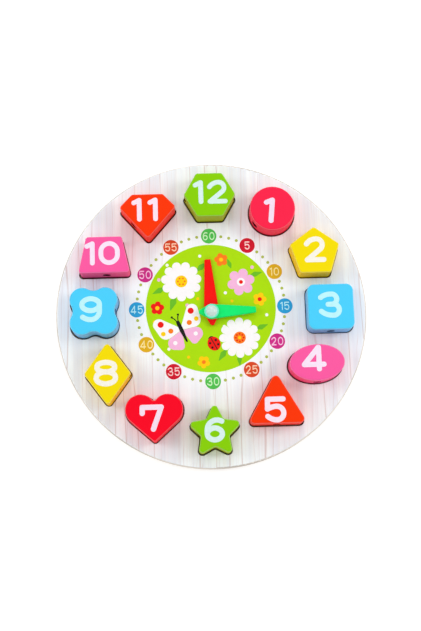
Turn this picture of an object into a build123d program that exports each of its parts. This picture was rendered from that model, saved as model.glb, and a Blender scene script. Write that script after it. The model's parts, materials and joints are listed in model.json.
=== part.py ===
from build123d import *
from math import asin, atan2, cos, hypot, radians, sin
from typing import Callable, NamedTuple
import os

# A round wooden teaching clock. Two glued panels make the board: the front panel has twelve shaped
# windows, and the back panel closes them, so that each is a recess. A number block stands in each
# recess and lifts straight out. Every block is drilled through from side to side for a lace. Two
# plastic hands turn by themselves on a two-part snap rivet in the middle of the dial.
# Millimetres. +Z points out of the dial and 12 o'clock is towards +Y. The origin is under the middle
# of the board, on the face that it rests on.

# Board
number_ring_radius = 109.5  # from the pivot to the middle of a block
rim_width = 35.5  # from the middle of a block to the board's edge
back_thickness = 3.0
back_edge_radius = 1.0
front_thickness = 6.0
front_edge_radius = 2.0
window_chamfer = 0.4
board_radius = number_ring_radius + rim_width
dial_level = back_thickness + front_thickness

# Blocks, all of one thickness
block_thickness = 25.0
block_edge_radius = 1.5
recess_clearance = 0.9  # all round a block that lies in the middle
lace_hole_radius = 3.5
lace_hole_rise = 2.0  # of the hole above the middle of the block's thickness
lace_hole_level = back_thickness + block_thickness / 2 + lace_hole_rise

# Outlines of the twelve faces
hexagon_across_flats = 42.0
circle_radius = 21.2
pentagon_radius = 24.3
square_side = 42.5
square_corner_radius = 6.5
ellipse_long_radius = 25.2
ellipse_short_radius = 16.8
ellipse_tilt = 3.0
triangle_side = 54.7
star_tip_radius = 27.0
star_notch_radius = 13.5
star_rounding = 3.2
heart_lobe_radius = 13.9
heart_lobe_offset = 12.3
heart_drop = 29.6  # from the middle of the lobes to the sharp tip
heart_rounding = 2.0
rhombus_width = 43.0
rhombus_height = 58.5
quatrefoil_lobe_radius = 11.4
quatrefoil_lobe_offset = 10.6
quatrefoil_waist_radius = 10.0
trapezoid_top = 33.0
trapezoid_base = 48.0
trapezoid_height = 34.5
gem_top = 29.0
gem_width = 53.1
gem_height = 43.0
gem_girdle_drop = 12.6  # from the top edge down to the widest place
triangle_rounding = 4.0
corner_rounding = 3.0  # of the other straight-sided blocks

# Snap rivet: a cap with a split stem, pressed from the front into a socket from the back
stem_radius = 3.0
stem_bead_radius = 3.4
stem_bead_length = 1.6
stem_slot_width = 1.0
stem_slot_length = 7.0
stem_end_gap = 0.5
socket_sleeve_radius = 4.2
socket_flange_radius = 9.0
socket_flange_thickness = 1.5
socket_inset = 0.3  # how far the flange stays behind the board's back face
socket_floor = 0.9
sleeve_drop = 0.2  # from the dial down to the sleeve's end
cap_flange_radius = 6.8
cap_flange_thickness = 1.2
cap_flange_rounding = 0.5
cap_dome_radius = 4.9
cap_dome_height = 2.4
fixed_clearance = 0.1  # between parts that are pushed together once
flange_clearance = 0.3

# Hands and the washers that space them
running_clearance = 0.05  # radial, between a hand and the stem
hand_thickness = 2.0
hand_chamfer = 0.6
hub_radius = 7.1
blade_tip_half_width = 2.9
blade_tip_rounding = 1.0
hand_tail_rounding = 2.3
minute_hand_length = 50.6
minute_hand_tail = 12.6
minute_hand_angle = 92.8  # counter-clockwise from +X
hour_hand_length = 41.4
hour_hand_tail = 11.9
hour_hand_angle = 1.1
base_washer_radius = 6.9
base_washer_thickness = 1.0
hand_washer_radius = 6.5
hand_washer_thickness = 0.6
spring_washer_radius = 6.0
spring_washer_thickness = 0.3
spring_washer_height = 0.7

# Heights up the stack on the pivot
minute_hand_level = dial_level + base_washer_thickness
hand_washer_level = minute_hand_level + hand_thickness
hour_hand_level = hand_washer_level + hand_washer_thickness
spring_washer_level = hour_hand_level + hand_thickness
cap_level = spring_washer_level + spring_washer_height
counterbore_depth = socket_inset + socket_flange_thickness
stem_end_level = socket_inset + socket_floor + stem_end_gap


# The outlines below are drawn about the middle of the block, and moved outwards by grow: nothing
# for the block itself, and the clearance for its window.


def move_outline(grow):
    """Offset the open sketch."""
    if grow:
        offset(amount=grow)


def hexagon_face(grow):
    """Two flats level, corners to the left and right."""
    with BuildSketch() as face:
        RegularPolygon(hexagon_across_flats / 2, 6, major_radius=False)
        fillet(face.vertices(), corner_rounding)
        move_outline(grow)
    return face.sketch


def circle_face(grow):
    with BuildSketch() as face:
        Circle(circle_radius + grow)
    return face.sketch


def pentagon_face(grow):
    """One corner up."""
    with BuildSketch() as face:
        RegularPolygon(pentagon_radius, 5, rotation=90)
        fillet(face.vertices(), corner_rounding)
        move_outline(grow)
    return face.sketch


def square_face(grow):
    with BuildSketch() as face:
        RectangleRounded(square_side, square_side, square_corner_radius)
        move_outline(grow)
    return face.sketch


def ellipse_face(grow):
    with BuildSketch() as face:
        Ellipse(ellipse_long_radius + grow, ellipse_short_radius + grow, rotation=ellipse_tilt)
    return face.sketch


def triangle_face(grow):
    """Equal sides, one corner up, about its centre."""
    with BuildSketch() as face:
        RegularPolygon(triangle_side / 2 / cos(radians(30)), 3, rotation=90)
        fillet(face.vertices(), triangle_rounding)
        move_outline(grow)
    return face.sketch


def star_face(grow):
    """Five rounded points with rounded notches between them."""
    corners = []
    for i in range(10):
        reach = star_notch_radius if i % 2 else star_tip_radius
        turn = radians(90 + 36 * i)
        corners.append((reach * cos(turn), reach * sin(turn)))
    with BuildSketch() as face:
        Polygon(*corners, align=None)
        fillet(face.vertices(), star_rounding)
        move_outline(grow)
    return face.sketch


def heart_face(grow):
    """Two round lobes and the straight sides that touch them, meeting at the tip."""
    to_lobe = hypot(heart_lobe_offset, heart_drop)
    side_angle = atan2(heart_drop, heart_lobe_offset) - asin(heart_lobe_radius / to_lobe)
    side_length = (to_lobe**2 - heart_lobe_radius**2) ** 0.5
    touch_x = side_length * cos(side_angle)
    touch_y = side_length * sin(side_angle) - heart_drop
    with BuildSketch() as face:
        with Locations((-heart_lobe_offset, 0), (heart_lobe_offset, 0)):
            Circle(heart_lobe_radius)
        Polygon(
            (0, -heart_drop),
            (touch_x, touch_y),
            (heart_lobe_offset, 0),
            (-heart_lobe_offset, 0),
            (-touch_x, touch_y),
            align=None,
        )
        middle = face.vertices().filter_by(lambda corner: abs(corner.X) < heart_rounding / 10)
        fillet([middle.sort_by(Axis.Y)[0], middle.sort_by(Axis.Y)[-1]], heart_rounding)
        move_outline(grow)
    return face.sketch


def rhombus_face(grow):
    half_width = rhombus_width / 2
    half_height = rhombus_height / 2
    with BuildSketch() as face:
        Polygon((0, half_height), (-half_width, 0), (0, -half_height), (half_width, 0), align=None)
        fillet(face.vertices(), corner_rounding)
        move_outline(grow)
    return face.sketch


def quatrefoil_face(grow):
    """Four round lobes at the corners, with a hollow waist between each two."""
    with BuildSketch() as face:
        with GridLocations(2 * quatrefoil_lobe_offset, 2 * quatrefoil_lobe_offset, 2, 2):
            Circle(quatrefoil_lobe_radius + grow)
        Rectangle(2 * quatrefoil_lobe_offset, 2 * quatrefoil_lobe_offset)
        fillet(face.vertices(), quatrefoil_waist_radius - grow)
    return face.sketch


def trapezoid_face(grow):
    half_height = trapezoid_height / 2
    with BuildSketch() as face:
        Polygon(
            (-trapezoid_top / 2, half_height),
            (-trapezoid_base / 2, -half_height),
            (trapezoid_base / 2, -half_height),
            (trapezoid_top / 2, half_height),
            align=None,
        )
        fillet(face.vertices(), corner_rounding)
        move_outline(grow)
    return face.sketch


def gem_face(grow):
    """A cut stone seen from the side: flat top, widest at the girdle, one point down."""
    top = gem_height / 2
    with BuildSketch() as face:
        Polygon(
            (-gem_top / 2, top),
            (-gem_width / 2, top - gem_girdle_drop),
            (0, -top),
            (gem_width / 2, top - gem_girdle_drop),
            (gem_top / 2, top),
            align=None,
        )
        fillet(face.vertices(), corner_rounding)
        move_outline(grow)
    return face.sketch


class NumberBlock(NamedTuple):
    """One block: its node, its outline, and how it and its lace hole lie."""

    node: str
    outline: Callable
    nudge: tuple  # from its even place on the ring, in X and Y
    lace_angle: float  # along the hole, counter-clockwise from +X
    lace_shift: float  # of the hole from the middle of the face, to the left of its direction
    slip: tuple  # how far it lies off the middle of its recess, in X and Y


blocks = {
    1: NumberBlock("block_1_circle", circle_face, (4.8, -0.7), 37, 0, (0.1, 0.3)),
    2: NumberBlock("block_2_pentagon", pentagon_face, (2.3, -3.7), 145, 0, (-0.3, 0)),
    3: NumberBlock("block_3_square", square_face, (-0.1, -0.9), 90, 0, (-0.4, -0.4)),
    4: NumberBlock("block_4_ellipse", ellipse_face, (-0.4, 2.4), 90, 0, (0.2, 0)),
    5: NumberBlock("block_5_triangle", triangle_face, (1.3, 3.9), 90, 0, (-0.4, 0.3)),
    6: NumberBlock("block_6_star", star_face, (-0.4, -2.6), 0, -4.2, (0, 0.4)),
    7: NumberBlock("block_7_heart", heart_face, (0.0, 3.8), 0, 0, (0, -0.3)),
    8: NumberBlock("block_8_rhombus", rhombus_face, (-1.5, -2.8), 0, 0, (0.1, -0.4)),
    9: NumberBlock("block_9_quatrefoil", quatrefoil_face, (1.1, 0.8), 0, 0, (0.5, 0.3)),
    10: NumberBlock("block_10_trapezoid", trapezoid_face, (-3.5, -1.2), 90, -1.7, (0.5, 0.3)),
    11: NumberBlock("block_11_gem", gem_face, (-2.5, -5.5), 34, 2.8, (0, 0.2)),
    12: NumberBlock("block_12_hexagon", hexagon_face, (1.0, -0.5), 0, 0, (0, 0.3)),
}


def block_place(hour):
    """The middle of a block's face, in X and Y."""
    turn = radians(90 - 30 * hour)
    nudge_x, nudge_y = blocks[hour].nudge
    return (
        number_ring_radius * cos(turn) + nudge_x,
        number_ring_radius * sin(turn) + nudge_y,
    )


def recess_place(hour):
    """The middle of a block's recess. The block lies loosely in it."""
    x, y = block_place(hour)
    slip_x, slip_y = blocks[hour].slip
    return x - slip_x, y - slip_y


def finish(part, node):
    """Name a piece and write it."""
    part.label = node
    export_step(part, f"parts/{node}.step")


def make_back_panel():
    """Plain disc that closes the recesses. The rivet's flange sits in its counterbore."""
    with BuildPart() as back_panel:
        with BuildSketch():
            Circle(board_radius)
        extrude(amount=back_thickness)
        fillet(back_panel.edges().group_by(Axis.Z)[0], back_edge_radius)
        with BuildSketch():
            Circle(socket_flange_radius + flange_clearance)
        extrude(amount=counterbore_depth, mode=Mode.SUBTRACT)
        with BuildSketch():
            Circle(socket_sleeve_radius + fixed_clearance)
        extrude(amount=back_thickness, mode=Mode.SUBTRACT)
    finish(back_panel.part, "back_panel")


def make_front_panel():
    """Disc with the twelve windows, each a block's outline grown by the clearance."""
    with BuildPart() as front_panel:
        with BuildSketch(Plane.XY.offset(back_thickness)):
            Circle(board_radius)
        extrude(amount=front_thickness)
        fillet(front_panel.edges().group_by(Axis.Z)[-1], front_edge_radius)
        with BuildSketch(Plane.XY.offset(back_thickness)):
            for hour, block in blocks.items():
                with Locations(recess_place(hour)):
                    add(block.outline(recess_clearance))
            Circle(socket_sleeve_radius + fixed_clearance)
        extrude(amount=front_thickness, mode=Mode.SUBTRACT)
        dial = front_panel.faces().filter_by(Axis.Z).sort_by(Axis.Z)[-1]
        window_edges = [edge for wire in dial.inner_wires() for edge in wire.edges()]
        chamfer(window_edges, window_chamfer)
    finish(front_panel.part, "front_panel")


def make_block(hour):
    """Prism of the block's face with softened edges, drilled through for the lace."""
    block = blocks[hour]
    x, y = block_place(hour)
    along = Vector(cos(radians(block.lace_angle)), sin(radians(block.lace_angle)), 0)
    aside = Vector(-along.Y, along.X, 0)
    with BuildPart() as number_block:
        with BuildSketch(Plane((x, y, back_thickness))):
            add(block.outline(0))
        extrude(amount=block_thickness)
        levels = number_block.edges().group_by(Axis.Z)
        fillet(levels[0] + levels[-1], block_edge_radius)
        with Locations(Plane(Vector(x, y, lace_hole_level) + aside * block.lace_shift, z_dir=along)):
            Hole(lace_hole_radius)
    finish(number_block.part, block.node)


def make_washer(node, level, radius, thickness):
    with BuildPart() as washer:
        with BuildSketch(Plane.XY.offset(level)):
            Circle(radius)
            Circle(stem_radius + fixed_clearance, mode=Mode.SUBTRACT)
        extrude(amount=thickness)
    finish(washer.part, node)


def make_spring_washer():
    """Coned disc spring: its outer edge presses the hour hand, its inner edge bears on the cap."""
    inner = stem_radius + fixed_clearance
    low = spring_washer_level
    high = spring_washer_level + spring_washer_height
    with BuildPart() as spring_washer:
        with BuildSketch(Plane.XZ):
            Polygon(
                (spring_washer_radius, low),
                (spring_washer_radius, low + spring_washer_thickness),
                (inner, high),
                (inner, high - spring_washer_thickness),
                align=None,
            )
        revolve(axis=Axis.Z)
    finish(spring_washer.part, "spring_washer")


def make_hand(node, level, length, tail, angle):
    """Blade that tapers from the round hub to a blunt tip, with a short pointed tail."""
    pointing = (cos(radians(angle)), sin(radians(angle)), 0)
    tip_x = length - blade_tip_rounding
    tip_y = blade_tip_half_width - blade_tip_rounding
    with BuildPart() as hand:
        with BuildSketch(Plane((0, 0, level), x_dir=pointing, z_dir=(0, 0, 1))) as blade:
            Circle(hub_radius)
            with Locations((tip_x, tip_y), (tip_x, -tip_y)):
                Circle(blade_tip_rounding)
            with Locations((hand_tail_rounding - tail, 0)):
                Circle(hand_tail_rounding)
            make_hull(blade.edges())
        extrude(amount=hand_thickness)
        chamfer(hand.edges().group_by(Axis.Z)[-1], hand_chamfer)
        with Locations((0, 0, level)):
            Hole(stem_radius + running_clearance)
    finish(hand.part, node)


def make_rivet_cap():
    """Domed head with a stem. The stem's end is split and has a bead that snaps into the socket."""
    dome_level = cap_level + cap_flange_thickness
    bead_middle = stem_end_level + stem_bead_length / 2
    with BuildPart() as rivet_cap:
        with BuildSketch(Plane.XZ):
            with BuildLine():
                Polyline(
                    (0, dome_level + cap_dome_height),
                    (0, stem_end_level),
                    (stem_radius, stem_end_level),
                    (stem_bead_radius, bead_middle),
                    (stem_radius, stem_end_level + stem_bead_length),
                    (stem_radius, cap_level),
                    (cap_flange_radius, cap_level),
                    (cap_flange_radius, dome_level),
                    (cap_dome_radius, dome_level),
                )
                RadiusArc(
                    (cap_dome_radius, dome_level),
                    (0, dome_level + cap_dome_height),
                    -(cap_dome_radius**2 + cap_dome_height**2) / (2 * cap_dome_height),
                )
            make_face()
        revolve(axis=Axis.Z)
        rim = rivet_cap.edges().filter_by(GeomType.CIRCLE).sort_by(lambda edge: edge.radius)[-2:]
        fillet(rim, cap_flange_rounding)
        with BuildSketch(Plane.XY.offset(stem_end_level)):
            Rectangle(2 * stem_bead_radius, stem_slot_width)
        extrude(amount=stem_slot_length, mode=Mode.SUBTRACT)
    finish(rivet_cap.part, "rivet_cap")


def make_rivet_socket():
    """Flange and sleeve in one, closed at the back, with a groove inside for the stem's bead."""
    bore_radius = stem_radius + fixed_clearance
    groove_radius = stem_bead_radius + fixed_clearance
    groove_middle = stem_end_level + stem_bead_length / 2
    groove_half = stem_bead_length / 2 + fixed_clearance
    bore_floor = socket_inset + socket_floor
    with BuildPart() as rivet_socket:
        with BuildSketch(Plane.XZ):
            Polygon(
                (0, socket_inset),
                (socket_flange_radius, socket_inset),
                (socket_flange_radius, counterbore_depth),
                (socket_sleeve_radius, counterbore_depth),
                (socket_sleeve_radius, dial_level - sleeve_drop),
                (bore_radius, dial_level - sleeve_drop),
                (bore_radius, groove_middle + groove_half),
                (groove_radius, groove_middle),
                (bore_radius, groove_middle - groove_half),
                (bore_radius, bore_floor),
                (0, bore_floor),
                align=None,
            )
        revolve(axis=Axis.Z)
    finish(rivet_socket.part, "rivet_socket")


os.makedirs("parts", exist_ok=True)
make_back_panel()
make_front_panel()
for hour in blocks:
    make_block(hour)
make_washer("base_washer", dial_level, base_washer_radius, base_washer_thickness)
make_hand("minute_hand", minute_hand_level, minute_hand_length, minute_hand_tail, minute_hand_angle)
make_washer("hand_washer", hand_washer_level, hand_washer_radius, hand_washer_thickness)
make_hand("hour_hand", hour_hand_level, hour_hand_length, hour_hand_tail, hour_hand_angle)
make_spring_washer()
make_rivet_socket()
make_rivet_cap()
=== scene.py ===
# A round wooden teaching clock: a printed board, twelve painted number blocks that lift out of it,
# and two plastic hands on a snap rivet. The wood, plastic and steel solids come ready made. This
# script gives them their finishes and adds what is printed on them: the numbers on the blocks, the
# ring of minutes and the picture in the middle of the dial.
# +Z points out of the dial and 12 o'clock is towards +Y. Blender works in metres. Printed pieces
# are drawn in millimetres and scaled as they are finished.

import json
from math import asin, ceil, cos, degrees, radians, sin
from typing import NamedTuple

import bmesh
import bpy
from mathutils import Matrix, Vector


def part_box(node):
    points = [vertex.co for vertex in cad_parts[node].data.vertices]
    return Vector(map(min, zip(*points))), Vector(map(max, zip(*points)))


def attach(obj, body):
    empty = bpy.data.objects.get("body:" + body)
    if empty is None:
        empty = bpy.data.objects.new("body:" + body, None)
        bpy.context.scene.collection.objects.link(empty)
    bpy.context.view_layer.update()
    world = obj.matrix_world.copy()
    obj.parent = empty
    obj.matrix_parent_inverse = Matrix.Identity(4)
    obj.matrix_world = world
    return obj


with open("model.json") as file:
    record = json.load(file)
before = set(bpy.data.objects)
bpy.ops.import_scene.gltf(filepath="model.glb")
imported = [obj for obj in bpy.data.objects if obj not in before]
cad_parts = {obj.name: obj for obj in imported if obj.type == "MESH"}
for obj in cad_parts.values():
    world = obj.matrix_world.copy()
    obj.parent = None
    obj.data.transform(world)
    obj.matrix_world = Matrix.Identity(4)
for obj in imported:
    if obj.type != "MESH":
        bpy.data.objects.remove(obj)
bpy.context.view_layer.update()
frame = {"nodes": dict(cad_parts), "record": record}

mm = 0.001
dial_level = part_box("front_panel")[1].z / mm
block_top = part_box("block_1_circle")[1].z / mm
board_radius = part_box("front_panel")[1].x

# The middle of what is printed on the dial, a little above the board's own
print_x, print_y = -0.55, 4.4


def chart(red, green, blue):
    """A colour read off a paint chart, 0 to 255, as the shaders want it."""
    linear = []
    for part in (red / 255, green / 255, blue / 255):
        linear.append(part / 12.92 if part <= 0.04045 else ((part + 0.055) / 1.055) ** 2.4)
    return (*linear, 1.0)


# Camera, table and lights


def set_camera():
    """Nearly square above the dial, a little below it on the 6 o'clock side."""
    data = bpy.data.cameras.new("camera")
    data.lens = 60.475
    data.sensor_width = 36
    data.clip_start = 0.01
    camera = bpy.data.objects.new("camera", data)
    tilt = Matrix.Rotation(0.19017, 4, "X")
    swing = Matrix.Rotation(-0.0183, 4, "Y")
    roll = Matrix.Rotation(-0.02666, 4, "Z")
    stand = Matrix.Translation((-0.0192, -0.1899, 0.9805))
    camera.matrix_world = stand @ (tilt @ swing @ roll)
    bpy.context.scene.collection.objects.link(camera)
    bpy.context.scene.camera = camera


def hang_light(name, place, size, power, aim=(0, 0, 0.01)):
    """A square soft box that points at the clock."""
    data = bpy.data.lights.new(name, "AREA")
    data.shape = "SQUARE"
    data.size = size
    data.energy = power
    light = bpy.data.objects.new(name, data)
    towards = Vector(aim) - Vector(place)
    light.rotation_euler = towards.to_track_quat("-Z", "Y").to_euler()
    light.location = place
    bpy.context.scene.collection.objects.link(light)


def lay_table():
    """Plain white table, open under the clock so that its back shows from below."""
    table_radius = 4
    under_the_edge = 0.0015
    bm = bmesh.new()
    for radius in (table_radius, board_radius - under_the_edge):
        bmesh.ops.create_circle(bm, segments=128, radius=radius)
    bmesh.ops.bridge_loops(bm, edges=bm.edges)
    bmesh.ops.recalc_face_normals(bm, faces=bm.faces)
    mesh = bpy.data.meshes.new("table")
    bm.to_mesh(mesh)
    bm.free()
    table = bpy.data.objects.new("table", mesh)
    material = bpy.data.materials.new("table_white")
    material.use_nodes = True
    shader = material.node_tree.nodes["Principled BSDF"]
    shader.inputs["Base Color"].default_value = (0.5, 0.5, 0.5, 1)
    shader.inputs["Roughness"].default_value = 0.9
    shader.inputs["Specular IOR Level"].default_value = 0.0
    shader.inputs["Emission Color"].default_value = (1, 1, 1, 1)
    shader.inputs["Emission Strength"].default_value = 0.62
    mesh.materials.append(material)
    bpy.context.scene.collection.objects.link(table)


set_camera()
lay_table()


# Shader nodes


def feed(tree, socket, value):
    """Join a socket to another, or set its value."""
    if isinstance(value, bpy.types.NodeSocket):
        tree.links.new(value, socket)
    else:
        socket.default_value = value


def add_node(tree, kind, sockets, **settings):
    node = tree.nodes.new("ShaderNode" + kind)
    for name, value in settings.items():
        setattr(node, name, value)
    for name, value in sockets.items():
        feed(tree, node.inputs[name], value)
    return node


def calculate(tree, operation, *values):
    node = add_node(tree, "Math", {}, operation=operation)
    for socket, value in zip(node.inputs, values):
        feed(tree, socket, value)
    return node.outputs[0]


def calculate_vector(tree, operation, *values, answer="Vector"):
    node = add_node(tree, "VectorMath", {}, operation=operation)
    for socket, value in zip(node.inputs, values):
        feed(tree, socket, value)
    return node.outputs[answer]


def mix_colours(tree, amount, first, second, blend_type="MIX"):
    node = add_node(tree, "Mix", {}, data_type="RGBA", blend_type=blend_type)
    for index, value in ((0, amount), (6, first), (7, second)):
        feed(tree, node.inputs[index], value)
    return node.outputs[2]


def spread(tree, value, low, high, to_low=0.0, to_high=1.0):
    """Smooth step from one range to another."""
    sockets = {
        "Value": value,
        "From Min": low,
        "From Max": high,
        "To Min": to_low,
        "To Max": to_high,
    }
    node = add_node(tree, "MapRange", sockets, interpolation_type="SMOOTHSTEP")
    return node.outputs["Result"]


def light_studio():
    """Soft boxes on every side, in a room that looks white and lights a little less than that."""
    room_light, room_white = 0.66, 1.0
    world = bpy.data.worlds.new("studio")
    world.use_nodes = True
    tree = world.node_tree
    background = tree.nodes["Background"]
    background.inputs["Color"].default_value = (1, 1, 1, 1)
    seen = add_node(tree, "LightPath", {}).outputs["Is Camera Ray"]
    strength = spread(tree, seen, 0.0, 1.0, room_light, room_white)
    feed(tree, background.inputs["Strength"], strength)
    bpy.context.scene.world = world
    bpy.context.scene.view_settings.view_transform = "Standard"
    hang_light("soft_box_left", (-1.3, 0.25, 0.95), 0.55, 5)
    hang_light("soft_box_right", (1.3, 0.25, 0.95), 0.55, 6.5)
    hang_light("soft_box_top", (0.1, 1.3, 1.1), 0.55, 4.5)
    hang_light("soft_box_front", (-0.2, -1.4, 0.9), 0.55, 2)
    hang_light("soft_box_below", (0.3, -0.4, -1.2), 0.8, 9)


light_studio()


def cloud(tree, place, stretch, scale, detail=2.0, warp=0.0):
    """Noise, squeezed or drawn out along the axes."""
    mapped = add_node(tree, "Mapping", {"Vector": place, "Scale": stretch}).outputs["Vector"]
    sockets = {"Vector": mapped, "Scale": scale, "Detail": detail, "Distortion": warp}
    return add_node(tree, "TexNoise", sockets).outputs[0]


def split_place(tree, place):
    return add_node(tree, "SeparateXYZ", {"Vector": place}).outputs


def distance_out(tree, parts):
    """How far a place is from the upright line through the middle of the board."""
    across = add_node(tree, "CombineXYZ", {"X": parts["X"], "Y": parts["Y"]}).outputs["Vector"]
    return calculate_vector(tree, "LENGTH", across, answer="Value")


def new_effect(name, takes, gives):
    """An effect that several finishes share: its node tree, what it is given and what it gives."""
    tree = bpy.data.node_groups.new(name, "ShaderNodeTree")
    for in_out, sockets in (("INPUT", takes), ("OUTPUT", gives)):
        for socket, kind in sockets.items():
            kind = "NodeSocket" + kind
            tree.interface.new_socket(name=socket, in_out=in_out, socket_type=kind)
    taken = tree.nodes.new("NodeGroupInput").outputs
    given = tree.nodes.new("NodeGroupOutput").inputs
    return tree, taken, given


def use_effect(tree, effect, sockets):
    node = tree.nodes.new("ShaderNodeGroup")
    node.node_tree = effect
    for name, value in sockets.items():
        feed(tree, node.inputs[name], value)
    return node.outputs


def object_place(tree):
    return tree.nodes.new("ShaderNodeTexCoord").outputs["Object"]


# What an effect gives to the finish that uses it
surface = {"Colour": "Color", "Roughness": "Float", "Height": "Float"}


def make_grain_effect():
    """Long grain of sawn wood along Y: broad bands, soft streaks, and thin lines that wander and
    fade. The spacing is about the distance between two lines."""
    tree, taken, given = new_effect(
        "long_grain",
        {"Place": "Vector", "Spacing": "Float"},
        {"Bands": "Float", "Streaks": "Float", "Lines": "Float"},
    )
    place, spacing = taken["Place"], taken["Spacing"]
    line_width = 0.065
    most_wander = 2.6

    def grain_cloud(stretch, in_a_spacing, detail, warp=0.0):
        scale = calculate(tree, "DIVIDE", in_a_spacing, spacing)
        return cloud(tree, place, stretch, scale, detail, warp)

    wide = grain_cloud((1, 0.03, 1), 0.6, 2)
    soft = grain_cloud((1, 0.022, 1), 2.2, 4, 0.3)
    fading = grain_cloud((1, 0.12, 1), 0.7, 1)
    wander = grain_cloud((0.5, 0.05, 1), 0.8, 2)
    wander = calculate(tree, "MULTIPLY", calculate(tree, "SUBTRACT", wander, 0.5), spacing)
    wander = calculate(tree, "MULTIPLY", wander, most_wander)
    sockets = {
        "W": calculate(tree, "ADD", split_place(tree, place)["X"], wander),
        "Scale": calculate(tree, "DIVIDE", 0.8, spacing),
    }
    rings = add_node(
        tree, "TexVoronoi", sockets, voronoi_dimensions="1D", feature="DISTANCE_TO_EDGE"
    )
    line = spread(tree, rings.outputs["Distance"], 0.0, line_width, 1.0, 0.0)
    line = calculate(tree, "MULTIPLY", line, spread(tree, fading, 0.42, 0.6))
    feed(tree, given["Bands"], spread(tree, wide, 0.35, 0.65))
    feed(tree, given["Streaks"], spread(tree, soft, 0.46, 0.66))
    feed(tree, given["Lines"], line)
    return tree


long_grain = make_grain_effect()


def make_printed_board_effect():
    """Off-white print of pale grain on the dial side, fainter inside the ring of minutes, bare
    plywood round the edge, and scorched recess walls darkened to near black as painted shade."""
    tree, taken, given = new_effect(
        "printed_board",
        dict.fromkeys(("Ground", "Cool", "Pink", "Tan", "Line", "Ply", "Scorch and shade"), "Color"),
        surface,
    )
    place = object_place(tree)
    grain = use_effect(tree, long_grain, {"Place": place, "Spacing": 0.011})
    fine = use_effect(tree, long_grain, {"Place": place, "Spacing": 0.004})
    warm = spread(tree, cloud(tree, place, (1, 0.3, 1), 16, 1), 0.4, 0.6)
    tinge = mix_colours(tree, warm, taken["Pink"], taken["Tan"])
    print_middle = (print_x * mm, print_y * mm, dial_level * mm)
    from_middle = calculate_vector(tree, "DISTANCE", place, print_middle, answer="Value")
    strength = spread(tree, from_middle, 0.064, 0.084, 0.35, 1.0)
    colour = taken["Ground"]
    for pattern, share, over in (
        (fine["Bands"], 0.7, taken["Cool"]),
        (fine["Streaks"], 0.25, tinge),
        (fine["Lines"], 0.5, taken["Line"]),
        (grain["Lines"], 0.9, taken["Line"]),
    ):
        amount = calculate(tree, "MULTIPLY", calculate(tree, "MULTIPLY", pattern, share), strength)
        colour = mix_colours(tree, amount, colour, over)

    parts = split_place(tree, place)
    out = distance_out(tree, parts)
    ply_lines = spread(tree, cloud(tree, place, (0.02, 0.02, 1), 900, 1), 0.4, 0.6, 0.0, 0.3)
    ply = mix_colours(tree, ply_lines, taken["Ply"], taken["Scorch and shade"])
    # The recess walls take the scorch colour, darkened to near black as painted shade of the
    # narrow gaps
    rim = spread(tree, out, board_radius - 0.004, board_radius - 0.002)
    bare = mix_colours(tree, rim, taken["Scorch and shade"], ply)
    face = spread(tree, parts["Z"], (dial_level - 0.3) * mm, (dial_level - 0.18) * mm)
    varnish = calculate(tree, "MULTIPLY", face, 0.2)
    fibres = cloud(tree, place, (1, 1, 1), 1500, 2)
    feed(tree, given["Colour"], mix_colours(tree, face, bare, colour))
    feed(tree, given["Roughness"], calculate(tree, "SUBTRACT", 0.62, varnish))
    feed(tree, given["Height"], calculate(tree, "ADD", grain["Streaks"], fibres))
    return tree


def make_bare_wood_effect():
    """Sanded wood left plain, darker along the grain lines."""
    tree, taken, given = new_effect("bare_wood", {"Wood": "Color", "Dark wood": "Color"}, surface)
    place = object_place(tree)
    grain = use_effect(tree, long_grain, {"Place": place, "Spacing": 0.009})
    fine = cloud(tree, place, (1, 0.05, 1), 1400, 3)
    darker = calculate(tree, "MULTIPLY", grain["Bands"], 0.35)
    darker = calculate(tree, "ADD", darker, calculate(tree, "MULTIPLY", grain["Lines"], 0.5))
    darker = calculate(tree, "ADD", darker, spread(tree, fine, 0.5, 0.7, 0.0, 0.2))
    feed(tree, given["Colour"], mix_colours(tree, darker, taken["Wood"], taken["Dark wood"]))
    feed(tree, given["Roughness"], spread(tree, fine, 0.3, 0.7, 0.55, 0.75))
    feed(tree, given["Height"], calculate(tree, "SUBTRACT", fine, grain["Lines"]))
    return tree


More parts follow.
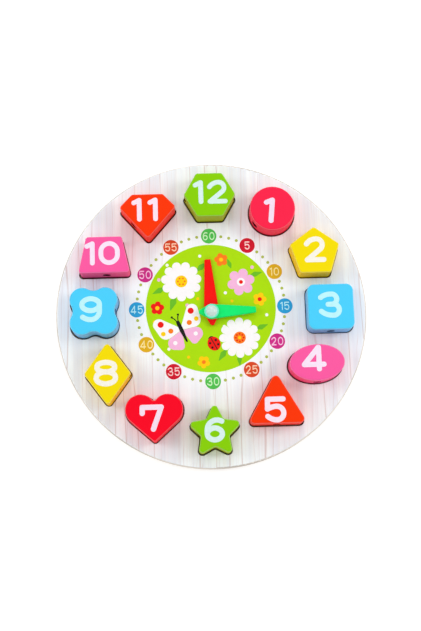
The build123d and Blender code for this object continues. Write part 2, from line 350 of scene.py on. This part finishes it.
def make_painted_block_effect():
    """Sprayed paint on solid wood: full on the face, a painted highlight along the rounded edge,
    thinner down the sides, and painted shade at the foot and in the lace hole."""
    tree, taken, given = new_effect(
        "painted_block",
        {
            "Paint": "Color",
            "Side paint": "Color",
            "Wood": "Color",
            "Hole place": "Vector",
            "Hole line": "Vector",
            "Hole radius": "Float",
        },
        surface,
    )
    place = object_place(tree)
    height = split_place(tree, place)["Z"]
    # Painted shade: the foot of each block is darkened where the recess shades it
    painted_foot_shade = (0.4, 0.35, 0.37, 1)
    # Painted shade: the inside of the lace hole is darkened towards black
    painted_hole_shade = (0.13, 0.06, 0.1, 1)

    def rise(low, high, to_low=0.0, to_high=1.0):
        """Step over a range of heights, in millimetres."""
        return spread(tree, height, low * mm, high * mm, to_low, to_high)

    grain = use_effect(tree, long_grain, {"Place": place, "Spacing": 0.006})
    face = rise(block_top - 1.5, block_top - 0.5)
    upright = spread(tree, cloud(tree, place, (1, 1, 0.12), 420, 3), 0.4, 0.7, 0.0, 0.1)
    sides = mix_colours(tree, upright, taken["Side paint"], taken["Wood"])
    thin = rise(4, block_top - 6, 0.1, 0.0)
    sides = mix_colours(tree, thin, sides, taken["Wood"])
    # Painted shade at the foot, fading out just above the dial
    foot = rise(dial_level - 1, dial_level + 1.5, 1.0, 0.0)
    sides = mix_colours(tree, foot, sides, painted_foot_shade, "MULTIPLY")
    mottle = spread(tree, cloud(tree, place, (1, 1, 1), 90, 3), 0.3, 0.7, 0.0, 0.05)
    paint = mix_colours(tree, mottle, taken["Paint"], taken["Side paint"])
    colour = mix_colours(tree, face, sides, paint)
    # Painted highlight: a thin band on the rounded top edge is lightened towards white
    painted_edge_highlight = calculate(
        tree,
        "MULTIPLY",
        rise(block_top - 0.9, block_top - 0.6, 0.0, 0.16),
        rise(block_top - 0.5, block_top - 0.15, 1.0, 0.0),
    )
    colour = mix_colours(tree, painted_edge_highlight, colour, (1, 1, 1, 1))

    away = calculate_vector(tree, "SUBTRACT", place, taken["Hole place"])
    away = calculate_vector(tree, "CROSS_PRODUCT", away, taken["Hole line"])
    beyond = calculate_vector(tree, "LENGTH", away, answer="Value")
    beyond = calculate(tree, "SUBTRACT", beyond, taken["Hole radius"])
    hole = spread(tree, beyond, 0.00002, 0.0002, 1.0, 0.0)
    # Painted shade: the side paint darkened inside the lace hole
    inside = mix_colours(tree, 1.0, taken["Side paint"], painted_hole_shade, "MULTIPLY")

    peel = cloud(tree, place, (1, 1, 1), 650, 2)
    sheen = spread(tree, peel, 0.3, 0.7, 0.44, 0.52)
    sheen = calculate(tree, "ADD", sheen, calculate(tree, "MULTIPLY", face, -0.14))
    sheen = calculate(tree, "ADD", sheen, calculate(tree, "MULTIPLY", hole, 0.3))
    streaks = calculate(tree, "MULTIPLY", grain["Streaks"], 0.5)
    feed(tree, given["Colour"], mix_colours(tree, hole, colour, inside))
    feed(tree, given["Roughness"], sheen)
    feed(tree, given["Height"], calculate(tree, "ADD", peel, streaks))
    return tree


def make_ink_effect():
    """Screen-printed ink: even, with the faint mottle that the mesh leaves."""
    tree, taken, given = new_effect("printed_ink", {"Ink": "Color", "Thin ink": "Color"}, surface)
    place = object_place(tree)
    mottle = cloud(tree, place, (1, 1, 1), 260, 3)
    mesh = cloud(tree, place, (1, 1, 1), 2200, 1)
    thin = spread(tree, mottle, 0.35, 0.75, 0.0, 0.35)
    feed(tree, given["Colour"], mix_colours(tree, thin, taken["Ink"], taken["Thin ink"]))
    feed(tree, given["Roughness"], spread(tree, mottle, 0.3, 0.7, 0.42, 0.5))
    feed(tree, given["Height"], mesh)
    return tree


def make_plastic_effect():
    """Injection-moulded plastic: faint flow marks in the colour and a few fine scratches in the
    gloss. Outside the reach it has the colour of its rim."""
    tree, taken, given = new_effect(
        "moulded_plastic",
        {"Plastic": "Color", "Flow": "Color", "Rim": "Color", "Reach": "Float", "Gloss": "Float"},
        surface,
    )
    place = object_place(tree)
    flow = cloud(tree, place, (1, 0.35, 1), 120, 3, 0.8)
    scratches = cloud(tree, place, (0.1, 1, 1), 2600, 2)
    out = distance_out(tree, split_place(tree, place))
    beyond = spread(tree, calculate(tree, "SUBTRACT", out, taken["Reach"]), -0.0003, 0.0003)
    body = mix_colours(tree, spread(tree, flow, 0.3, 0.75), taken["Plastic"], taken["Flow"])
    marks = spread(tree, scratches, 0.62, 0.74, 0.0, 0.05)
    feed(tree, given["Colour"], mix_colours(tree, beyond, body, taken["Rim"]))
    feed(tree, given["Roughness"], calculate(tree, "ADD", taken["Gloss"], marks))
    feed(tree, given["Height"], calculate(tree, "SUBTRACT", flow, marks))
    return tree


printed_board = make_printed_board_effect()
bare_wood = make_bare_wood_effect()
painted_block = make_painted_block_effect()
printed_ink = make_ink_effect()
moulded_plastic = make_plastic_effect()


def new_finish(name, effect, sockets, relief=0.00001, **shading):
    """A material whose colour, roughness and relief come from an effect."""
    material = bpy.data.materials.new(name)
    material.use_nodes = True
    tree = material.node_tree
    shader = tree.nodes["Principled BSDF"]
    for words, value in shading.items():
        shader.inputs[words.replace("_", " ")].default_value = value
    given = use_effect(tree, effect, sockets)
    bump = add_node(tree, "Bump", {"Height": given["Height"], "Distance": relief})
    tree.links.new(given["Colour"], shader.inputs["Base Color"])
    tree.links.new(given["Roughness"], shader.inputs["Roughness"])
    tree.links.new(bump.outputs["Normal"], shader.inputs["Normal"])
    return material


def dress(node, material):
    """Give a ready-made solid its finish."""
    for slot in frame["nodes"][node].material_slots:
        slot.material = material


# Finishes of the ready-made solids

board_colours = {
    "Ground": chart(248, 253, 255),
    "Cool": chart(232, 235, 243),
    "Pink": chart(240, 231, 236),
    "Tan": chart(239, 233, 223),
    "Line": chart(218, 200, 197),
    "Ply": chart(232, 224, 214),
    # Laser scorch on the cut walls, darkened to near black as painted shade
    "Scorch and shade": chart(32, 21, 18),
}
wood_colours = {"Wood": chart(226, 206, 176), "Dark wood": chart(184, 150, 112)}
printed_wood = new_finish(
    "printed_wood", printed_board, board_colours, relief=0.00002, Specular_IOR_Level=0.3
)
plain_wood = new_finish(
    "plain_wood", bare_wood, wood_colours, relief=0.00003, Specular_IOR_Level=0.3
)
dress("front_panel", printed_wood)
dress("back_panel", plain_wood)


class Paint(NamedTuple):
    """A block's paint on its face and its sides, and the white printed on it, which it tints."""

    face: tuple
    side: tuple
    number: tuple


paints = {
    "crimson": Paint(chart(248, 36, 74), chart(255, 46, 82), chart(243, 220, 240)),
    "yellow": Paint(chart(243, 220, 2), chart(253, 204, 4), chart(247, 243, 228)),
    "blue": Paint(chart(74, 207, 250), chart(118, 188, 240), chart(190, 244, 250)),
    "pink": Paint(chart(249, 91, 162), chart(252, 78, 136), chart(248, 228, 246)),
    "orange": Paint(chart(249, 54, 1), chart(253, 46, 30), chart(250, 226, 240)),
    "green": Paint(chart(134, 206, 2), chart(168, 182, 20), chart(216, 240, 236)),
    "red": Paint(chart(248, 3, 36), chart(250, 16, 40), chart(246, 222, 238)),
}


class Block(NamedTuple):
    """A block's node and paint, and the middle, height and turn of its number, in millimetres
    and degrees."""

    node: str
    paint: str
    number_place: tuple
    number_height: float = 24.6
    number_turn: float = 0.0


blocks = {
    1: Block("block_1_circle", "crimson", (55.95, 92.2), 24.8, -6),
    2: Block("block_2_pentagon", "yellow", (97.2, 53.4), 24.8),
    3: Block("block_3_square", "blue", (108.4, 0.65), 24.8),
    4: Block("block_4_ellipse", "pink", (91.4, -48.6)),
    5: Block("block_5_triangle", "orange", (54.6, -94.3), 23.7),
    6: Block("block_6_star", "green", (-0.4, -111.1), 22.6),
    7: Block("block_7_heart", "red", (-56.9, -99.0)),
    8: Block("block_8_rhombus", "yellow", (-97.7, -57.0)),
    9: Block("block_9_quatrefoil", "blue", (-111.0, 2.4)),
    10: Block("block_10_trapezoid", "pink", (-99.9, 54.8), 23.0),
    11: Block("block_11_gem", "orange", (-59.9, 95.6), 22.9),
    12: Block("block_12_hexagon", "green", (1.7, 111.3), 23.2),
}

wood_under_paint = chart(150, 112, 70)
lace_holes = {mount["name"]: mount for mount in frame["record"]["mounts"]}
for hour, block in blocks.items():
    paint = paints[block.paint]
    lace_hole = lace_holes[f"lace_hole_{hour}"]
    sockets = {
        "Paint": paint.face,
        "Side paint": paint.side,
        "Wood": wood_under_paint,
        "Hole place": lace_hole["pos_m"],
        "Hole line": lace_hole["axis"],
        "Hole radius": lace_hole["dims"]["r_mm"] * mm,
    }
    name = f"paint_of_block_{hour}"
    dress(block.node, new_finish(name, painted_block, sockets, Specular_IOR_Level=0.08))


def plastic(colour, flow, gloss, rim=None, reach=1.0):
    """What the plastic effect takes. The rim starts at that distance from the pivot, in metres."""
    return {"Plastic": colour, "Flow": flow, "Rim": rim or colour, "Reach": reach, "Gloss": gloss}


glossy = {"relief": 0.000002, "Specular_IOR_Level": 0.15}
red_plastic = plastic(chart(250, 12, 6), chart(243, 8, 4), 0.26)
green_plastic = plastic(chart(16, 236, 116), chart(10, 230, 110), 0.26)
white_plastic = plastic(chart(238, 238, 234), chart(226, 226, 222), 0.35)
steel = plastic(chart(196, 198, 202), chart(170, 172, 178), 0.28)
dress("minute_hand", new_finish("hand_red", moulded_plastic, red_plastic, **glossy))
dress("hour_hand", new_finish("hand_green", moulded_plastic, green_plastic, **glossy))
for node in ("base_washer", "hand_washer"):
    dress(node, new_finish("washer_plastic", moulded_plastic, white_plastic))
dress("spring_washer", new_finish("spring_steel", moulded_plastic, steel, Metallic=1.0))

# Painted see-through: the cap's flange is coloured with the green of the hand that shows through
# it
see_through = {"relief": 0.000002, "Transmission_Weight": 0.15, "IOR": 1.49}
dome_share = 0.78
dome_reach = dome_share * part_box("rivet_cap")[1].x
clear = plastic(chart(222, 248, 240), chart(212, 242, 233), 0.1)
clear_with_painted_green = {**clear, "Rim": chart(116, 255, 214), "Reach": dome_reach}
clear_cap = new_finish("clear_plastic_cap", moulded_plastic, clear_with_painted_green, **see_through)
dress("rivet_cap", clear_cap)
dress("rivet_socket", new_finish("clear_plastic", moulded_plastic, clear, **see_through))


# Printed pieces


def finish_piece(bm, name, material, body):
    """Close a mesh drawn in millimetres, scale it and let it ride on its body."""
    bmesh.ops.remove_doubles(bm, verts=bm.verts, dist=0.0005)
    bmesh.ops.recalc_face_normals(bm, faces=bm.faces)
    bmesh.ops.scale(bm, vec=(mm, mm, mm), verts=bm.verts)
    mesh = bpy.data.meshes.new(name)
    bm.to_mesh(mesh)
    bm.free()
    for polygon in mesh.polygons:
        polygon.use_smooth = True
    mesh.set_sharp_from_angle(angle=radians(25))
    mesh.materials.append(material)
    piece = bpy.data.objects.new(name, mesh)
    bpy.context.scene.collection.objects.link(piece)
    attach(piece, body)


def new_ink(name, ink, thin_ink):
    sockets = {"Ink": ink, "Thin ink": thin_ink}
    return new_finish(name, printed_ink, sockets, relief=0.000004, Specular_IOR_Level=0.1)


class Pen(NamedTuple):
    """A round nib: half its stroke's width, and the bottom and thickness of the ink it leaves."""

    half_width: float
    level: float
    thickness: float


def verts_among(geometry):
    return [part for part in geometry if isinstance(part, bmesh.types.BMVert)]


def edges_between(geometry, verts):
    """The edges of some geometry that have both their ends among some of its verts."""
    ends = set(verts)
    edges = [part for part in geometry if isinstance(part, bmesh.types.BMEdge)]
    return [edge for edge in edges if set(edge.verts) <= ends]


def round_end(bm, edges, middle, aside):
    """Close a stroke's end by turning the half of its section that lies on one side."""
    half = []
    for edge in edges:
        if all((vert.co - middle).dot(aside) > -0.001 for vert in edge.verts):
            half.append(edge)
    bmesh.ops.spin(bm, geom=half, cent=middle, axis=(0, 0, 1), angle=radians(180), steps=9)


def draw_stroke(bm, pen, start, heading, moves, closed=False):
    """Draw the nib's section along straight runs, given by length, and bends, given by angle and
    radius. An angle above 0 turns left."""
    w, t = pen.half_width, pen.thickness
    shoulder = 0.93 * w, 0.7 * t
    section = (
        (0, 0),
        (w, 0),
        shoulder,
        (0, t),
        (-shoulder[0], shoulder[1]),
        (-w, 0),
    )
    middle = Vector((*start, pen.level))
    verts = [bm.verts.new((x, 0, z)) for x, z in section]
    edges = [bm.edges.new((verts[i - 1], verts[i])) for i in range(len(verts))]
    turn = Matrix.Rotation(radians(heading - 90), 4, "Z")
    bmesh.ops.transform(bm, matrix=Matrix.Translation(middle) @ turn, verts=verts)
    ahead = Matrix.Rotation(radians(heading), 3, "Z") @ Vector((1, 0, 0))
    left = Vector((-ahead.y, ahead.x, 0))
    if not closed:
        round_end(bm, edges, middle, left)
    for move in moves:
        if isinstance(move, tuple):
            angle, radius = move
            centre = middle + left * (radius if angle > 0 else -radius)
            steps = max(2, ceil(abs(angle) / 10))
            drawn = bmesh.ops.spin(
                bm, geom=edges, cent=centre, axis=(0, 0, 1), angle=radians(angle), steps=steps
            )["geom_last"]
            bend = Matrix.Rotation(radians(angle), 3, "Z")
            middle = centre + bend @ (middle - centre)
            ahead = bend @ ahead
            left = bend @ left
        else:
            drawn = bmesh.ops.extrude_edge_only(bm, edges=edges)["geom"]
            bmesh.ops.translate(bm, vec=ahead * move, verts=verts_among(drawn))
            middle = middle + ahead * move
        edges = edges_between(drawn, verts_among(drawn))
    if not closed:
        round_end(bm, edges, middle, -left)


# Sizes on a digit 20 high, which each number is scaled from
digit_height = 20
digit_gap = 8.6
wide_gap = 10.9
minute_gap = 9.6


class Digit(NamedTuple):
    """How far a digit reaches to the left and right, and its strokes, measured between the
    middles of the strokes."""

    left: float
    right: float
    strokes: tuple


def oval(width, height, end_radius):
    """Moves of a flat ring: half of one end, a broad side and a whole end."""
    along, up = width / 2 - end_radius, height / 2 - end_radius
    more = (along**2 + up**2) / (2 * up)
    flat = degrees(asin(along / more))
    return (90 - flat, end_radius), (2 * flat, end_radius + more), (180 - 2 * flat, end_radius)


six_end, six_side, six_turn = oval(15.2, 12, 4.9)
nine_end, nine_side, nine_turn = oval(16.2, 11.4, 4.4)
upper_end, upper_side, upper_turn = oval(16.2, 9, 3.4)
lower_end, lower_side, lower_turn = oval(17.6, 11.2, 4.4)

# A stroke: where it starts, which way it heads, its moves, and whether it closes on itself
digits = {
    "0": Digit(-8.3, 8.3, (((8.3, -1.6), 90, (3.2, (180, 8.3), 3.2, (180, 8.3)), True),)),
    "1": Digit(-2.9, 2.6, (((-2.9, 7.4), 26, (6.1,)), ((2.6, 10), -90, (20,)))),
    "2": Digit(
        -7.6,
        8.2,
        (
            ((-7.4, 5.2), 56, ((-56, 11), (-140.5, 5.6), 15.9)),
            ((-7.2, -10), 0, (15.4,)),
        ),
    ),
    "3": Digit(
        -8.4,
        8.2,
        (
            ((-8.3, 6.9), 40, ((-40, 13), 1.7, (-180, 4.8), 3.4)),
            ((-1.3, 0.4), 0, (4.6, (-180, 5.2), 1.2, (-42, 15.4))),
        ),
    ),
    "4": Digit(
        -9.2,
        9.1,
        (
            ((4.3, 10), -130.5, (20.8,)),
            ((-9.2, -5.8), 0, (18.3,)),
            ((4.6, 10), -90, (20,)),
        ),
    ),
    "5": Digit(
        -7.2,
        8.3,
        (
            ((8.1, 10), 180, (15.1,)),
            ((-7, 10), -91, (9.4,)),
            ((-7.2, 0.6), 31, ((-31, 17.4), (-180, 6.5), (-43, 13))),
        ),
    ),
    "6": Digit(
        -7.6,
        7.6,
        (
            (
                (7, 8.7),
                150,
                ((30, 10), (90, 10), 4.04, six_end, six_side, six_turn, six_side, (35, 4.9)),
            ),
        ),
    ),
    "7": Digit(
        -8.5,
        8.8,
        (
            ((-8.5, 4.6), 90, (5.4,)),
            ((-8.5, 10), 0, (17.3,)),
            ((8.9, 10), -110.5, (21.35,)),
        ),
    ),
    "8": Digit(
        -8.9,
        8.9,
        (
            ((8.1, 5.5), 90, (upper_end, upper_side, upper_turn, upper_side, upper_end), True),
            ((8.8, -4.4), 90, (lower_end, lower_side, lower_turn, lower_side, lower_end), True),
        ),
    ),
    "9": Digit(
        -8.2,
        7.9,
        (
            (
                (-7.6, -7.4),
                -38,
                ((38, 12.4), (90, 8), 6.2, nine_end, nine_side, nine_turn, nine_side, (35, 4.4)),
            ),
        ),
    ),
}


def scale_moves(moves, scale):
    """Change the lengths and radii of some moves, and keep their angles."""
    scaled = []
    for move in moves:
        if isinstance(move, tuple):
            angle, radius = move
            scaled.append((angle, radius * scale))
        else:
            scaled.append(move * scale)
    return scaled


def print_number(bm, text, place, height, pen, turn=0.0, gap=digit_gap, narrow=1.0):
    """Draw a number about its middle, height high over its ink, with a gap between its digits."""
    scale = (height - 2 * pen.half_width) / digit_height
    width = sum(digits[name].right - digits[name].left for name in text) + gap * (len(text) - 1)
    cursor = -width / 2
    drawn = bmesh.new()
    for name in text:
        digit = digits[name]
        shift = cursor - digit.left
        for start, heading, moves, *closed in digit.strokes:
            start = ((start[0] + shift) * scale, start[1] * scale)
            draw_stroke(drawn, pen, start, heading, scale_moves(moves, scale), bool(closed))
        cursor += digit.right - digit.left + gap
    matrix = Matrix.Translation((*place, 0)) @ Matrix.Rotation(radians(turn), 4, "Z")
    matrix = matrix @ Matrix.Diagonal((narrow, 1, 1, 1))
    bmesh.ops.transform(drawn, matrix=matrix, verts=drawn.verts)
    add_mesh(bm, drawn)


def add_mesh(bm, drawn):
    """Add what was drawn to a mesh."""
    mesh = bpy.data.meshes.new("drawn")
    drawn.to_mesh(mesh)
    drawn.free()
    bm.from_mesh(mesh)
    bpy.data.meshes.remove(mesh)


def thinner(ink):
    return (*(part * 0.93 for part in ink[:3]), 1.0)


for hour, block in blocks.items():
    bm = bmesh.new()
    nib = 2.45 if hour < 10 else 2.3
    pen = Pen(half_width=nib, level=block_top - 0.05, thickness=0.2)
    gap = wide_gap if hour == 11 else digit_gap
    place, height, turn = block.number_place, block.number_height, block.number_turn
    print_number(bm, str(hour), place, height, pen, turn, gap)
    white = paints[block.paint].number
    ink = new_ink(f"number_ink_{hour}", white, thinner(white))
    finish_piece(bm, f"number_{hour}", ink, block.node)


# The dial's middle and its ring of minutes

minute_ring_radius = 69.3
ink_film = 0.03


def print_disc(bm, x, y, radius, layer, segments=48, long=1.0, turn=0.0):
    """Thin disc of ink, or an oval where it is longer than wide. A higher layer lies on a lower
    one."""
    slope = 0.02
    level = dial_level + ink_film * layer / 2
    matrix = Matrix.Translation((print_x + x, print_y + y, level))
    matrix = matrix @ Matrix.Rotation(radians(turn), 4, "Z") @ Matrix.Diagonal((long, 1, 1, 1))
    bmesh.ops.create_cone(
        bm,
        cap_ends=True,
        segments=segments,
        radius1=radius,
        radius2=radius - slope,
        depth=ink_film * layer,
        matrix=matrix,
    )


dial_inks = {
    "lime": (chart(171, 223, 8), chart(166, 218, 10)),
    "white": (chart(252, 250, 250), chart(243, 241, 243)),
    "dot_green": (chart(176, 190, 84), chart(168, 182, 78)),
    "green": (chart(84, 196, 84), chart(76, 186, 80)),
    "red": (chart(208, 22, 46), chart(198, 20, 46)),
    "mustard": (chart(224, 176, 32), chart(216, 166, 30)),
    "blue": (chart(46, 164, 220), chart(42, 154, 212)),
    "magenta": (chart(206, 46, 138), chart(196, 42, 132)),
    "orange_red": (chart(216, 74, 36), chart(206, 68, 34)),
    "white_on_green": (chart(208, 250, 196), chart(194, 242, 182)),
    "white_on_red": (chart(253, 214, 212), chart(250, 200, 200)),
    "white_on_mustard": (chart(253, 236, 164), chart(250, 228, 146)),
    "white_on_blue": (chart(186, 242, 252), chart(172, 234, 250)),
    "white_on_magenta": (chart(252, 200, 232), chart(250, 184, 222)),
    "white_on_orange_red": (chart(253, 214, 184), chart(250, 202, 168)),
    "bright_red": (chart(238, 28, 20), chart(228, 24, 18)),
    "orange": (chart(250, 128, 28), chart(244, 118, 26)),
    "yellow": (chart(252, 208, 12), chart(246, 198, 12)),
    "pink": (chart(246, 186, 222), chart(240, 172, 214)),
    "leaf": (chart(108, 190, 40), chart(98, 180, 38)),
    "black": (chart(24, 28, 24), chart(34, 38, 34)),
}
inks = {name: new_ink("ink_" + name, *colours) for name, colours in dial_inks.items()}


def around(x, y, reach, bearing):
    """The point at that distance and bearing from another."""
    return x + reach * cos(radians(bearing)), y + reach * sin(radians(bearing))


def minute_bearing(minute):
    """Bearing of a minute on the printed ring, whose scale crowds a little towards 3 and 9
    o'clock."""
    most_crowding = 1.55
    even = 90 - 6 * minute
    return even - most_crowding * sin(radians(2 * even))


def print_minute_ring():
    """Twelve numbered discs with a white margin, and three dots between each two."""
    disc_inks = ("green", "red", "mustard", "blue", "magenta", "orange_red")
    disc_radius, margin_radius, dot_radius = 7.3, 7.8, 1.45
    number_height, narrow = 8.0, 0.72
    pen = Pen(half_width=0.61, level=dial_level + 2 * ink_film - 0.01, thickness=0.06)
    margins = bmesh.new()
    discs = {name: bmesh.new() for name in disc_inks}
    numbers = {name: bmesh.new() for name in disc_inks}
    dots = bmesh.new()
    for hour in range(12):
        name = disc_inks[hour % 6]
        x, y = around(0, 0, minute_ring_radius, minute_bearing(5 * hour))
        print_disc(margins, x, y, margin_radius, 1)
        print_disc(discs[name], x, y, disc_radius, 2)
        text = str(5 * (hour or 12))
        middle = (print_x + x, print_y + y)
        print_number(
            numbers[name], text, middle, number_height, pen, gap=minute_gap, narrow=narrow
        )
        for step in (1.5, 2.5, 3.5):
            x, y = around(0, 0, minute_ring_radius, minute_bearing(5 * hour + step))
            print_disc(dots, x, y, dot_radius, 1, 20)
    finish_piece(margins, "minute_margins", inks["white"], "board")
    for name in disc_inks:
        white = inks["white_on_" + name]
        finish_piece(discs[name], f"minute_discs_{name}", inks[name], "board")
        finish_piece(numbers[name], f"minute_numbers_{name}", white, "board")
    finish_piece(dots, "minute_dots", inks["dot_green"], "board")


def print_lime_disc():
    """The dial's lime green middle, open round the washer."""
    lime_radius, opening_radius = 60.8, 7.0
    bm = bmesh.new()
    for x, y, radius in ((print_x, print_y, lime_radius), (0, 0, opening_radius)):
        matrix = Matrix.Translation((x, y, dial_level))
        bmesh.ops.create_circle(bm, segments=128, radius=radius, matrix=matrix)
    bmesh.ops.bridge_loops(bm, edges=bm.edges)
    raised = bmesh.ops.extrude_face_region(bm, geom=bm.faces, use_keep_orig=True)["geom"]
    bmesh.ops.translate(bm, vec=(0, 0, ink_film), verts=verts_among(raised))
    finish_piece(bm, "dial_lime_disc", inks["lime"], "board")


def print_hull(bm, discs, layer):
    """Ink over some discs and everything between them, such as a drop, a leaf or a wing."""
    corners = []
    for x, y, radius in discs:
        for level in (dial_level, dial_level + ink_film * layer):
            matrix = Matrix.Translation((print_x + x, print_y + y, level))
            circle = bmesh.ops.create_circle(bm, segments=28, radius=radius, matrix=matrix)
            corners += circle["verts"]
    inside = bmesh.ops.convex_hull(bm, input=corners)["geom_interior"]
    bmesh.ops.delete(bm, geom=verts_among(inside), context="VERTS")


def print_flower(
    sheets, middle, reach, petals, petal_ink, heart_ink, turn=0.0, plump=1.0, layer=2
):
    """Petals round a heart. Neighbouring petals lie on different layers, so that they overlap
    cleanly."""
    heart_share, petal_share = 0.3, 0.62
    heart = heart_share * reach
    width = plump * petal_share * reach * sin(radians(180 / petals))
    for i in range(petals):
        angle = turn + 360 * i / petals
        near = around(*middle, heart, angle)
        far = around(*middle, reach - width, angle)
        odd_one = petals % 2 and i == petals - 1
        petal_layer = layer + (2 if odd_one else i % 2)
        print_hull(sheets[petal_ink], ((*near, 0.5 * width), (*far, width)), petal_layer)
    print_disc(sheets[heart_ink], *middle, heart, layer + 3)


def print_dots(sheets, ink, places, radius, layer):
    for x, y in places:
        print_disc(sheets[ink], x, y, radius, layer, 24)


def print_leaf(sheets, x, y, length, turn):
    """Leaf that starts at a point and narrows towards its tip."""
    middle = around(x, y, 0.42 * length, turn)
    tip = around(x, y, length, turn)
    discs = ((x, y, 0.06 * length), (*middle, 0.22 * length), (*tip, 0.03 * length))
    print_hull(sheets["leaf"], discs, 2)


def print_butterfly(sheets, x, y, turn):
    """White upper wings with coloured dots, pink lower wings, a dark body and feelers."""
    pen = Pen(half_width=0.45, level=dial_level + 2 * ink_film, thickness=0.1)

    def spot(side, away, up):
        bearing = Matrix.Rotation(radians(turn), 2) @ Vector((side * away, up))
        return x + bearing.x, y + bearing.y

    for side in (-1, 1):
        root, back, tip = spot(side, 1.5, -2), spot(side, 11, -9), spot(side, 7, -14)
        print_hull(sheets["pink"], ((*root, 1.2), (*back, 6.2), (*tip, 3.5)), 2)
        root, back, tip = spot(side, 1.5, 1), spot(side, 14, 4), spot(side, 17, 13)
        print_hull(sheets["white"], ((*root, 1.5), (*back, 7.0), (*tip, 5.5)), 3)
        print_dots(sheets, "bright_red", [spot(side, 15.5, 12.5)], 2.9, 4)
        print_dots(sheets, "orange", [spot(side, 9.5, 3)], 2.4, 4)
        print_dots(sheets, "yellow", [spot(side, 17, 3.5)], 2.2, 4)
        print_dots(sheets, "white", [spot(side, 10.5, -9)], 2.0, 3)
        start = spot(side, 0.4, 7)
        feeler = Vector((print_x + start[0], print_y + start[1]))
        draw_stroke(sheets["black"], pen, feeler, 90 + turn - 12 * side, (2.5, (-side * 38, 9)))
        print_dots(sheets, "black", [spot(side, 3.1, 14.4)], 0.95, 5)
    body = ((*spot(1, 0, 7.5), 1.7), (*spot(1, 0, -1), 1.9), (*spot(1, 0, -12), 0.8))
    print_hull(sheets["black"], body, 5)


def print_ladybird(sheets, x, y, turn):
    """Red back with a dark seam, head and dots."""
    print_disc(sheets["black"], *around(x, y, 4.6, turn), 3.1, 3, 32)
    print_disc(sheets["bright_red"], x, y, 6.0, 4, 40, 1.12, turn)
    seam = ((*around(x, y, 6.0, turn), 0.35), (*around(x, y, -6.3, turn), 0.35))
    print_hull(sheets["black"], seam, 5)
    for along, aside in ((2.2, 3.0), (-2.4, 3.1)):
        for side in (-1, 1):
            middle = around(*around(x, y, along, turn), side * aside, turn + 90)
            print_disc(sheets["black"], *middle, 1.1, 5, 20)


def print_picture():
    """A garden on the lime disc: flowers, leaves, a butterfly and a ladybird."""
    picture_inks = ("white", "pink", "yellow", "orange", "bright_red", "leaf", "black")
    sheets = {name: bmesh.new() for name in picture_inks}
    for x, y, length, turn in (
        (-33, 12, 14, 250),
        (-43, 20, 12, 205),
        (-12, 36, 12, 40),
        (42, -21, 11, 20),
        (13, -40, 12, 235),
        (25, -45, 10, 272),
        (38, 30, 11, 15),
        (20, 38, 9, 110),
    ):
        print_leaf(sheets, x, y, length, turn)

    upper_daisy, lower_daisy, pink_flower = (-27, 26), (26, -29), (29, 24)
    print_flower(sheets, upper_daisy, 19, 11, "white", "yellow", 8, 1.25, 3)
    print_flower(sheets, lower_daisy, 19, 12, "white", "orange", 0, 1.25, 3)
    print_flower(sheets, pink_flower, 13, 6, "pink", "white", 15, 1.1, 3)
    print_flower(sheets, (46, 7), 6.5, 5, "yellow", "bright_red", 0, 1.15)
    print_flower(sheets, (11, 46), 6.5, 5, "orange", "yellow", 30, 1.15)
    print_flower(sheets, (-50, 1), 6.5, 5, "bright_red", "yellow", 10, 1.15)
    print_flower(sheets, (-8, -51), 6.0, 5, "yellow", "orange", 50, 1.15)
    upper_seeds = [around(*upper_daisy, 3.2, 60 * i) for i in range(6)]
    lower_seeds = [around(*lower_daisy, 3.6, 45 * i) for i in range(8)]
    print_dots(sheets, "orange", upper_seeds, 0.9, 7)
    print_dots(sheets, "bright_red", lower_seeds, 0.9, 7)
    print_dots(sheets, "yellow", [lower_daisy], 1.5, 7)
    print_dots(sheets, "bright_red", [pink_flower], 1.9, 7)
    print_butterfly(sheets, -28, -20, 24)
    print_ladybird(sheets, 2, -34, 118)

    white_dots = [(-9, 50), (14, 14), (52, -8), (12, -18), (-40, -38), (-40, 42)]
    yellow_dots = [(20, 6), (-12, 9), (-22, -46), (-53, -12)]
    pink_dots = [(-48, 28), (-22, 3), (40, 38), (30, -6)]
    print_dots(sheets, "white", white_dots, 1.5, 2)
    print_dots(sheets, "yellow", yellow_dots, 1.5, 2)
    print_dots(sheets, "pink", pink_dots, 1.7, 2)
    for name, bm in sheets.items():
        finish_piece(bm, "picture_" + name, inks[name], "board")


print_minute_ring()
print_lime_disc()
print_picture()
